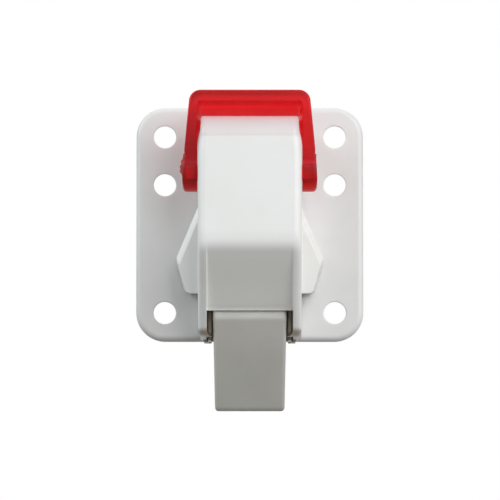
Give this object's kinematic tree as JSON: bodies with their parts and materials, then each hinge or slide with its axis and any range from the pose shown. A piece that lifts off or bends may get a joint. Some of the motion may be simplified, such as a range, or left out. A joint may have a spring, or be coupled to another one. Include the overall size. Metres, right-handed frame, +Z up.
{
  "type": "cabinet lock",
  "caption": "Surface-mounted spring-bolt cabinet lock: a drilled plate, a white moulded housing with side wings, a grey wedge bolt and a red bail that swings forward to draw the bolt.",
  "frame": {"origin": "centre of the plate's flat back, which lies on the door", "axes": "+Z up along the bolt, away from its tip; +Y out of the plate's back into the door; +X to the right seen from the front"},
  "size_m": [0.05, 0.0255, 0.0685],
  "materials": {
    "white_plastic": "glossy white moulded nylon",
    "grey_plastic": "satin grey moulded acetal",
    "red_plastic": "clear red moulded polycarbonate",
    "steel": "zinc-plated steel",
    "black_plastic": "black acetal"
  },
  "bodies": {
    "case": {"base_plate": "white_plastic", "housing": "white_plastic", "shaft_bush_left": "black_plastic", "shaft_bush_right": "black_plastic", "bolt_spring_left": "steel", "bolt_spring_right": "steel", "spring_guide_left": "steel", "spring_guide_right": "steel", "housing_screw_upper_left": "steel", "housing_screw_upper_right": "steel", "housing_screw_lower_left": "steel", "housing_screw_lower_right": "steel"},
    "bail": {"release_bail": "red_plastic", "bail_shaft": "steel", "crank_spacer": "black_plastic", "lift_crank_left": "steel", "lift_crank_right": "steel"},
    "bolt": {"latch_bolt": "grey_plastic"}
  },
  "joints": [
    {"name": "bail_swing", "type": "hinge", "parent": "case", "child": "bail", "pos_m": [0, -0.0175, 0.0092], "axis": [1, 0, 0], "range_deg": [0, 70]},
    {"name": "bolt_slide", "type": "slide", "parent": "case", "child": "bolt", "axis": [0, 0, 1], "range_m": [0, 0.00917], "stiffness_N_per_m": 200, "springref_m": -0.006, "deforming": ["bolt_spring_left", "bolt_spring_right"]}
  ],
  "couplings": [
    {"joint": "bail_swing", "follows": "bolt_slide", "rad_per_m": 133.13}
  ]
}
